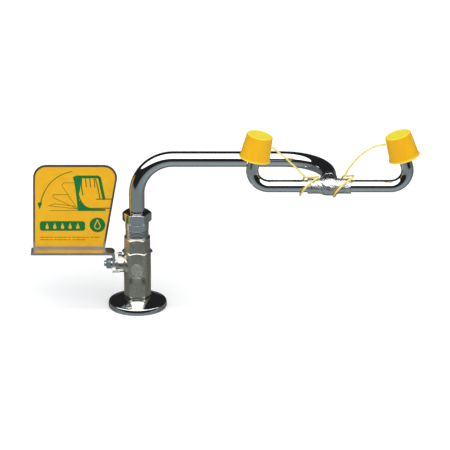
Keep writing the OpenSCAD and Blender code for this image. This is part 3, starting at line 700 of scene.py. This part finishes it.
# %% Adapter
NUT_Z, THREAD_R, THREAD_H, THREAD_DEPTH, PITCH = 95.1, 11.9, 8.6, 0.19, 1.6
BAND_R, BARREL_BORE = 12.3, 8.15
z = np.linspace(0.0, THREAD_H, 90)
wave = THREAD_R + THREAD_DEPTH * (0.5 - 0.5 * np.cos(z * 2 * np.pi / PITCH))
thread = np.stack([wave, TOP_Z + z], axis=1)
band = eased([[BAND_R - 0.3, 86.5], [BAND_R, 86.7], [BAND_R, 93.4], [BAND_R - 0.3, 93.6],
              [THREAD_R, NUT_Z], [BARREL_BORE, NUT_Z], [BARREL_BORE, TOP_Z]], 0.35,
             closed=False)
adapter = make_piece("swivel_barrel", turned_piece(np.vstack([thread, band]), (0, 0, 0),
                                                   (0, 0, 1), 200), sharp=60)
adapter.data.materials.append(chrome)
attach(adapter, "base")
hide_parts("swivel_adapter")

# %% [markdown]
# ## The swivel nut
# A bought chrome nut: hexagon sides, both ends turned to a cone, and a low
# neck that guides the pipe. The cones cut the flats in the curved line that
# every real nut shows.

# %% Swivel nut
NUT_AF = 26.6
nut_hex = hexagon(AROUND, NUT_AF, 0.3)
nut_rows = np.array([(8.4, 0), (13.2, 0), (14.4, 0.2), (14.9, 0.6), (15.4, 1.3), (15.6, 2.1),
                     (15.6, 4.4), (15.6, 8.3), (15.4, 8.8), (15.0, 9.05), (14.4, 9.32),
                     (13.8, 9.58), (13.2, 9.82), (12.8, 9.98), (12.7, 10), (12.65, 10),
                     (9.05, 10), (9.0, 10), (8.95, 10.04), (8.4, 10.05)])
nut = make_piece("swivel_nut_chrome",
                 stacked([softest(nut_hex, ring_of(c), 0.12) for c in nut_rows[:, 0]],
                         NUT_Z + nut_rows[:, 1]), sharp=50)
nut.data.materials.append(chrome)
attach(nut, "base")
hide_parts("swivel_nut")

# %% [markdown]
# ## The swinging pipe
# One length of chromed tube rises from the swivel, bends towards the right,
# runs level, and bends again towards the user. Its centre line is three
# straights and two quarter circles, and a circle is carried along it.

# %% Arm pipe
PIPE_R, ARM_Z, REACH = 8.1, 163.0, 197.0
RISE_BEND, FLAT_BEND = 38.0, 47.0


def quarter(centre, first, second, radius, count=48):
    """centre + radius (first cos a + second sin a) for a from 0 to 90 degrees."""
    a = np.linspace(0, np.pi / 2, count)[:, None]
    return np.asarray(centre, float) + radius * (np.cos(a) * first + np.sin(a) * second)


X, Y, Z = np.eye(3)
rise_bend = quarter((RISE_BEND, 0, ARM_Z - RISE_BEND), -X, Z, RISE_BEND)
flat_bend = quarter((REACH - FLAT_BEND, -FLAT_BEND, ARM_Z), Y, X, FLAT_BEND)
pipe_line = np.vstack([np.array([[0, 0, 81.8], [0, 0, 100.0], [0, 0, 112.0]]), rise_bend,
                       np.array([[70.0, 0, ARM_Z], [110.0, 0, ARM_Z], [140.0, 0, ARM_Z]]),
                       flat_bend, np.array([[REACH, -52.0, ARM_Z], [REACH, -64.0, ARM_Z]])])
pipe = make_piece("arm_pipe", tube(pipe_line, PIPE_R - 0.02, 112), sharp=60)
pipe.data.materials.append(chrome)
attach(pipe, "arm")
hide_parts("spout_pipe")

# %% [markdown]
# ## The tee
# The tee that carries both spray tubes is a rough casting: two sockets along
# the tubes, a swollen middle, and a branch back to the pipe with a heavier
# collar. Each arm is an outline turned round its own axis.

# %% Tee
TEE_HALF, SOCKET_R, SWELL, SWELL_HALF, BEAD = 22.0, 7.75, 1.9, 7.2, 0.12
x = np.linspace(-TEE_HALF + 0.8, TEE_HALF - 0.8, 90)
beads = BEAD * np.exp(-((np.abs(x) - 19.5) / 1.6)**2)
swell = SOCKET_R + SWELL * np.exp(-(x / SWELL_HALF)**4) + beads
mouth = np.array([[6.4, -TEE_HALF + 0.1], [7.3, -TEE_HALF], [7.7, -TEE_HALF + 0.3]])
run_outline = np.vstack([mouth, np.stack([swell, x], 1), mouth[::-1] * [1, -1]])
run = turned_piece(run_outline, TEE, X, 128)
branch_outline = eased([[5.0, 2.0], [9.4, 2.0], [8.5, 9.0], [8.2, 14.0], [8.8, 15.4],
                        [8.8, 21.2], [8.2, 22.0], [8.12, 22.0], [5.0, 20.0]],
                       [0.1, 0.1, 1.5, 1.0, 0.8, 0.7, 0.2, 0.05, 0.1])
branch = turned_piece(branch_outline, TEE, Y, 128)
tee = make_piece("tee_casting", run, branch, sharp=60)
tee.data.materials.append(cast_chrome)
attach(tee, "arm")
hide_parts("tee")

# %% [markdown]
# ## The spray tubes
# From each end of the tee a thinner tube runs out, turns up in one tight bend,
# and leans back over the basin. Left and right differ a little, because the
# real ones are bent by hand on a former.

# %% Spray tubes
TUBE_R, TUBE_BEND = 6.35, 17.0
SIDE = {"left": -1, "right": 1}
RUN = {"left": 61.0, "right": 62.0}
LEAN = {"left": np.radians(12), "right": np.radians(16)}


def head_axis(side):
    """Unit direction along a spray head: leaned over towards the tee."""
    return np.array([-SIDE[side] * np.sin(LEAN[side]), 0, np.cos(LEAN[side])])


def head_foot(side):
    """End of a tube's bend: tee + (s (run + R cos l), 0, R (1 + sin l))."""
    lean = LEAN[side]
    return TEE + np.array([SIDE[side] * (RUN[side] + TUBE_BEND * np.cos(lean)), 0,
                           TUBE_BEND * (1 + np.sin(lean))])


for side in ("left", "right"):
    s, lean = SIDE[side], LEAN[side]
    a = np.linspace(0, np.pi / 2 + lean, 56)[:, None]
    bend = TEE + s * RUN[side] * X + TUBE_BEND * (s * np.sin(a) * X + (1 - np.cos(a)) * Z)
    start = TEE + s * np.array([[12.0], [24.0], [40.0], [56.0]]) * X
    end = head_foot(side) + np.array([[6.0], [17.0]]) * head_axis(side)
    spray = make_piece(f"spray_tube_chrome_{side}",
                       tube(np.vstack([start, bend, end]), TUBE_R - 0.02, 96), sharp=60)
    spray.data.materials.append(chrome)
    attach(spray, "arm")
    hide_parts(f"spray_tube_{side}")

# %% [markdown]
# ## The dust caps
# Each cap is moulded in soft plastic: a tapered cup with a slightly dished
# crown, a rounded shoulder and a thin flared lip that a thumb, or the water
# itself, pushes off. The outline is turned round the head's leaning axis, and
# the inside is part of the same closed outline.

# %% Caps
SEAT, HEAD_H, CAP_H, CAP_WALL, FREE_GAP = 11.2, 22.6, 26.2, 1.5, 0.3
CAP_Z = SEAT + HEAD_H + FREE_GAP + CAP_WALL - CAP_H
LIP_H, CROWN_FROM, CROWN_FADE = 1.7, 25.4, 0.45
cap_outline = eased([[0.0, 25.85], [9.5, 25.95], [12.1, 26.2], [13.2, 25.5], [13.4, 24.4],
                     [15.25, 2.2], [15.9, 1.0], [16.2, 0.5], [16.2, 0.0], [13.85, 0.0],
                     [13.7, 1.5], [11.9, 24.0], [11.2, 24.7], [0.0, 24.7]],
                    [0.1, 1.4, 0.8, 0.7, 0.7, 0.9, 0.5, 0.18, 0.18, 0.3, 0.4, 0.5, 0.5, 0.1],
                    closed=False)
for side in ("left", "right"):
    foot = head_foot(side) + CAP_Z * head_axis(side)
    cap = make_piece(f"dust_cap_{side}",
                     turned_piece(cap_outline, foot, head_axis(side), 144, closed=False),
                     sharp=70)
    co = np.array([v.co for v in cap.data.vertices]) / MM
    height = (co - foot) @ head_axis(side)
    # painted glow: the lip share paints the cap's lip, near its mouth, lighter
    shares = {"lip_share": 1.0 - height / LIP_H,
              # painted highlight: this share paints the top of the cap paler
              "crown_share": (height - CROWN_FROM) / CROWN_FADE}
    for name, share in shares.items():
        cap.data.attributes.new(name, "FLOAT", "POINT").data.foreach_set(
            "value", np.clip(share, 0, 1).astype(np.float32))
    cap.data.materials.append(cap_yellow)
    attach(cap, f"cap_{side}")
    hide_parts(f"cap_{side}")

# %% [markdown]
# ## The flag's printed face
# The flag carries a yellow printed face that shows how to push it. The print
# is kept as distances: every point of a fine grid knows how far it is, in
# millimetres, from the nearest green ink and from the nearest thin line. The
# shader only asks which side of zero the distance is, so the print stays crisp
# at any size. The drawing is a curved arrow, the fan of positions that the flag
# falls through, and a hand on the flag; below it come a bar with a row of
# drops, a drop in a disc, and two plain rules.

# %% Distances to ink
def to_segment(p, a, b):
    """Distance from points p to the segment a-b: |p - a - h (b - a)|, h held in 0..1."""
    a, b = np.asarray(a, float), np.asarray(b, float)
    h = np.clip(((p - a) @ (b - a)) / max((b - a) @ (b - a), 1e-9), 0, 1)[..., None]
    return np.linalg.norm(p - a - h * (b - a), axis=-1)


def to_stroke(p, points, width):
    """Distance to a pen stroke of that width through the points."""
    reach = [to_segment(p, a, b) for a, b in zip(points[:-1], points[1:])]
    return np.min(reach, axis=0) - width / 2


def to_polygon(p, points):
    """Signed distance to a filled outline: negative inside, by counting crossings."""
    points = np.asarray(points, float)
    edge = to_stroke(p, np.vstack([points, points[:1]]), 0.0)
    inside = np.zeros(p.shape[:-1], bool)
    for (ax, ay), (bx, by) in zip(points, np.roll(points, -1, axis=0)):
        crosses = (ay > p[..., 1]) != (by > p[..., 1])
        slope = (bx - ax) / (by - ay if by != ay else 1e-9)
        inside ^= crosses & (p[..., 0] < ax + slope * (p[..., 1] - ay))
    return np.where(inside, -edge, edge)


def to_box(p, low, high, radius):
    """Distance to a block with rounded corners."""
    low, high = np.asarray(low, float), np.asarray(high, float)
    q = np.abs(p - (low + high) / 2) - (high - low) / 2 + radius
    outside = np.linalg.norm(np.maximum(q, 0), axis=-1)
    return outside + np.minimum(np.max(q, axis=-1), 0) - radius

# %% [markdown]
# ## The shape of the face
# The face follows the sheet: a straight foot, an upright left edge, a leaning
# right edge and two round corners. Each row of the grid runs from the left
# edge to the right edge at its own height, so the outline needs no trimming.

# %% Face grid
low, high = (np.array(v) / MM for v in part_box("flag_label"))
plate_low = np.array(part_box("flag_plate")[0]) / MM
FOOT_W, FLAG_H, LEAN_LEFT, LEAN_RIGHT, CORNER, INSET = 75.0, 92.0, 1.5, 16.0, 14.0, 2.0
FLAG_X, FLAG_Z = plate_low[0], plate_low[2]


def edges_at(height):
    """Left and right edge of the face at a height above the foot, corners included."""
    mid, r = FLAG_H - CORNER, CORNER - INSET
    tilt = np.arctan(LEAN_RIGHT / FLAG_H)
    left_c = LEAN_LEFT * mid / FLAG_H + CORNER
    right_c = FOOT_W + LEAN_RIGHT * mid / FLAG_H - CORNER / np.cos(tilt)
    over = np.clip(height - mid, 0, r)
    bow = np.sqrt(np.maximum(r**2 - over**2, 0))
    foot = np.clip((mid - height) / (mid - INSET), 0, 1)
    left = np.where(height > mid, left_c - bow, (left_c - r) * (1 - foot) + INSET * foot)
    top_tilt = mid + r * np.sin(-tilt)
    slope_x = right_c + r * np.cos(tilt)
    foot = np.clip((top_tilt - height) / (top_tilt - INSET), 0, 1)
    under = np.clip(height - mid, -r, r)
    bow = np.sqrt(np.maximum(r**2 - under**2, 0))
    right = np.where(height > top_tilt, right_c + bow,
                     slope_x * (1 - foot) + (FOOT_W - INSET) * foot)
    return left, right


corner_rows = FLAG_H - CORNER + (CORNER - INSET) * np.sin(np.linspace(0, np.pi / 2, 36))
levels = np.concatenate([np.linspace(INSET, FLAG_H - CORNER, 190, endpoint=False), corner_rows])
left, right = edges_at(levels)
share = np.linspace(0, 1, 210)[:, None]
face = np.stack([left + share * (right - left), np.broadcast_to(levels, (210, len(levels)))], -1)
print("face:", face.shape[0] * face.shape[1], "points;",
      round(right.max() - left.min(), 1), "mm wide")

# %% [markdown]
# ## The drawing
# All the marks are given in millimetres from the flag's left foot. Strokes are
# polylines with a width, fills are outlines, and the smallest of all their
# distances is the distance to the ink.

# %% Ink
def bow_line(a, b, c, count=14):
    """Quadratic curve a (1-s)^2 + 2 b s (1-s) + c s^2."""
    s = np.linspace(0, 1, count)[:, None]
    return (1 - s)**2 * np.array(a) + 2 * s * (1 - s) * np.array(b) + s**2 * np.array(c)


arrow = bow_line((41.8, 85.3), (16.0, 80.0), (8.7, 51.0), 18)
arrow_head = [(7.6, 43.2), (5.4, 49.8), (6.8, 51.2), (9.8, 50.9), (10.0, 49.4)]
flag_mark = [(44.2, 78.2), (47.0, 79.3), (68.2, 79.3), (70.2, 78.0), (74.4, 55.2)]
back_edge = bow_line((44.4, 78.0), (47.6, 60.0), (48.2, 43.8), 10)
sweep = [(46.8, 52.0), (50.0, 53.4), (53.0, 48.4), (57.6, 45.4), (64.0, 44.2),
         (76.2, 43.7), (75.8, 41.5), (47.4, 41.5)]
behind = [(43.6, 78.8), (52.6, 78.8), (51.2, 74.0), (50.0, 66.0), (49.2, 62.0), (47.6, 61.0)]
fingers_left = bow_line((51.5, 76.0), (50.8, 68.0), (52.8, 59.5), 8)
thumb = bow_line((48.0, 66.6), (47.4, 58.0), (51.4, 51.0), 10)
palm = bow_line((51.4, 51.0), (54.6, 45.6), (60.0, 44.4), 8)
wrist_top = [(66.8, 54.6), (84.0, 54.8)]
wrist_low = [(60.0, 44.4), (80.5, 44.6)]
outer_hand = bow_line((66.0, 77.0), (68.4, 68.0), (70.4, 55.0), 8)
DROPS = (15.0, 23.0, 31.0, 39.0, 47.0)
FAN = [[(46.5, 44.2), (31.0, 69.6), (32.6, 72.6), (43.4, 72.8)],
       [(46.5, 44.0), (22.0, 56.4), (21.4, 59.6), (37.5, 59.8)],
       [(46.0, 43.8), (17.0, 47.4), (24.0, 49.6), (45.0, 46.6)],
       [(47.0, 42.2), (17.4, 41.9)]]


def green_ink(p):
    """Distance to the solid green marks: flag, hand's edge, arrow head, bar and disc."""
    row = [np.minimum(np.linalg.norm(p - (x, 23.2), axis=-1) - 1.7,
                      to_polygon(p, [(x, 28.4), (x - 1.6, 23.8), (x + 1.6, 23.8)])) for x in DROPS]
    bar = np.maximum(to_box(p, (7.4, 19.4), (54.6, 30.2), 3.0), -np.minimum.reduce(row))
    drop = np.minimum(np.linalg.norm(p - (67.4, 24.4), axis=-1) - 2.9,
                      to_polygon(p, [(67.4, 32.0), (64.7, 25.4), (70.1, 25.4)]))
    disc = np.maximum(np.linalg.norm(p - (67.4, 26.0), axis=-1) - 8.2, 0.45 - np.abs(drop))
    return np.minimum.reduce([
        to_stroke(p, arrow[13:], 1.1), to_polygon(p, arrow_head),
        to_stroke(p, flag_mark, 3.2), to_stroke(p, back_edge, 2.8), to_polygon(p, sweep),
        to_polygon(p, behind), to_stroke(p, fingers_left, 1.2), disc, bar])


def thin_ink(p):
    """Distance to the thin lines: the arrow, the fan, the fingers, the arm and two rules."""
    lines = [to_stroke(p, arrow, 1.0)] + [to_stroke(p, part, 0.62) for part in FAN]
    lines += [to_stroke(p, [(x, 77.8), (x + 0.8, 68.0)], 1.1) for x in (55.6, 60.0, 64.4)]
    lines += [to_stroke(p, part, 1.2) for part in (thumb, palm, wrist_top, wrist_low, outer_hand)]
    rules = np.minimum(to_box(p, (7.0, 11.9), (70.5, 12.7), 0.2),
                       to_box(p, (7.0, 9.0), (55.5, 9.8), 0.2))
    gaps = np.abs(np.mod(p[..., 0] * 0.37 + np.sin(p[..., 0]) * 0.3, 1.0) - 0.5) - 0.38
    return np.minimum.reduce(lines + [np.maximum(rules, gaps * 2.0)])


print("green ink covers", round(float((green_ink(face) < 0).mean()) * 100, 1), "% of the face")

# %% [markdown]
# ## Face material
# The film is warm yellow with a satin overprint varnish. Green and the olive
# line colour come in where the stored distances fall below zero. A little
# screen-print mottle keeps the big area from being one flat tone.

# %% Label
print_film, r = new_finish("printed_film")
where = place(r)
mottle = grain(r, where, 120.0, 4.0, 0.6)
fine = grain(r, where, 1500.0, 2.0)
green_in = 1.0 - r.node("ShaderNodeAttribute", {"attribute_name": "green_mm"}, "Fac").ramp(
    -0.12, 0.12)
line_in = 1.0 - r.node("ShaderNodeAttribute", {"attribute_name": "thin_mm"}, "Fac").ramp(
    -0.12, 0.12)
ground = mixed(r, mottle.ramp(0.3, 0.7), (0.80, 0.405, 0.006, 1), (0.84, 0.46, 0.012, 1))
inked = mixed(r, line_in * 0.88, ground, (0.05, 0.10, 0.006, 1))
inked = mixed(r, green_in, inked, mixed(r, mottle, (0.001, 0.15, 0.028, 1),
                                        (0.004, 0.20, 0.045, 1)))
coat(r, Base_Color=inked, Roughness=0.34 + mottle * 0.12 + green_in * 0.05,
     Specular_IOR_Level=0.2,
     Normal=bumped(r, fine * 0.2 + green_in * 0.5, 0.00004, 0.5))

front = np.stack([FLAG_X + face[..., 0], np.full(face.shape[:2], low[1]),
                  FLAG_Z + face[..., 1]], axis=-1)
back = front + np.array([0, high[1] - low[1], 0])
border = np.vstack([front[0], front[1:, -1], front[-1, ::-1][1:], front[::-1, 0][1:-1]])
skirt = np.stack([border, border + np.array([0, high[1] - low[1], 0])], axis=1)
label = make_piece("flag_face_print", (front, False, False), (skirt, True, False),
                   (back[[0, -1]], False, False), sharp=40)
co = np.array([v.co for v in label.data.vertices]) / MM
spot = co[:, [0, 2]] - (FLAG_X, FLAG_Z)
for name, field in (("green_mm", green_ink(spot)), ("thin_mm", thin_ink(spot))):
    field = np.where(co[:, 1] > low[1] + 0.05, 5.0, field)
    label.data.attributes.new(name, "FLOAT", "POINT").data.foreach_set(
        "value", field.astype(np.float32))
label.data.materials.append(print_film)
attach(label, "handle")
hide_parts("flag_label")

# %% [markdown]
# ## Light, floor and finish
# Chrome shows the room, so the room is drawn as a studio would build it. One
# wide soft light runs from just behind the zenith down to about 26 degrees
# over the horizon, in front and at both sides. Behind it hangs dark cloth, and
# a grey table lies below in front. A plain white floor takes the soft contact
# shadow.

# %% Studio
world = bpy.data.worlds.new("studio")
bpy.context.scene.world = world
world.use_nodes = True
r = Recipe(world.node_tree)
split = r.node("ShaderNodeSeparateXYZ", {}, 0,
               Vector=r.node("ShaderNodeTexCoord", {}, "Generated")).socket.node
side, back, up = (Wire(r, s) for s in split.outputs)


def edge_of(angle):
    """Height over the plane through the X axis that rises at angle from the front horizon."""
    return up * float(np.cos(angle)) + back * float(np.sin(angle))


# Strengths of what the chrome sees: the dark, the light, the table and its near
# edge, and the cloth low down behind.
REST, OVERHEAD, TABLE, TABLE_EDGE, UNDER_BACK = 0.018, 2.1, 0.22, 0.14, 0.12
over = up.ramp(0.415, 0.460) * (-edge_of(np.radians(105))).ramp(-0.03, 0.03)
table = (-edge_of(np.radians(-17))).ramp(-0.03, 0.03) * (-back).ramp(-0.25, 0.25)
under_back = (-up).ramp(-0.05, 0.15) * back.ramp(-0.25, 0.25)
table = table * (TABLE + (-up).ramp(0.36, 0.85) * TABLE_EDGE)
room = REST + over * OVERHEAD + table + under_back * UNDER_BACK
seen = r.node("ShaderNodeLightPath", {}, "Is Camera Ray")
strength = room * (1.0 - seen) + seen
cool = mixed(r, table.ramp(0.05, 0.15), (0.985, 0.99, 1.0, 1), (0.86, 0.98, 1.0, 1))
shade = r.node("ShaderNodeBackground", {}, 0, Color=cool, Strength=strength)
r.node("ShaderNodeOutputWorld", {}, 0, Surface=shade)

floor_finish, r = new_finish("studio_floor")
where = place(r)
tooth = grain(r, where, 3.0, 2.0)
coat(r, Base_Color=mixed(r, tooth, (0.93, 0.93, 0.93, 1), (0.95, 0.95, 0.95, 1)),
     Roughness=1.0, Specular_IOR_Level=0.0, Emission_Color=(1, 1, 1, 1),
     Emission_Strength=0.12)
FLOOR_HALF = 6000
span = np.linspace(-FLOOR_HALF, FLOOR_HALF, 9)
flat = np.stack(np.meshgrid(span, span, [0.0], indexing="ij"), axis=-1)[:, :, 0]
floor = make_piece("studio_floor", (flat, False, False))
floor.data.materials.append(floor_finish)
floor.visible_glossy = False
floor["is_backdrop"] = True
bpy.context.scene.view_settings.view_transform = "Standard"
print("studio ready")

# %% [markdown]
# ## Sizes
# The finished surfaces stay inside the box of the frame. Both boxes are
# written out, so that this can be seen at a glance.

# %% Sizes and finish
VISUAL_BOX = [[float(v) for v in corner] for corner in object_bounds()]
print("visual box, mm:", [[round(v / MM, 1) for v in corner] for corner in VISUAL_BOX])
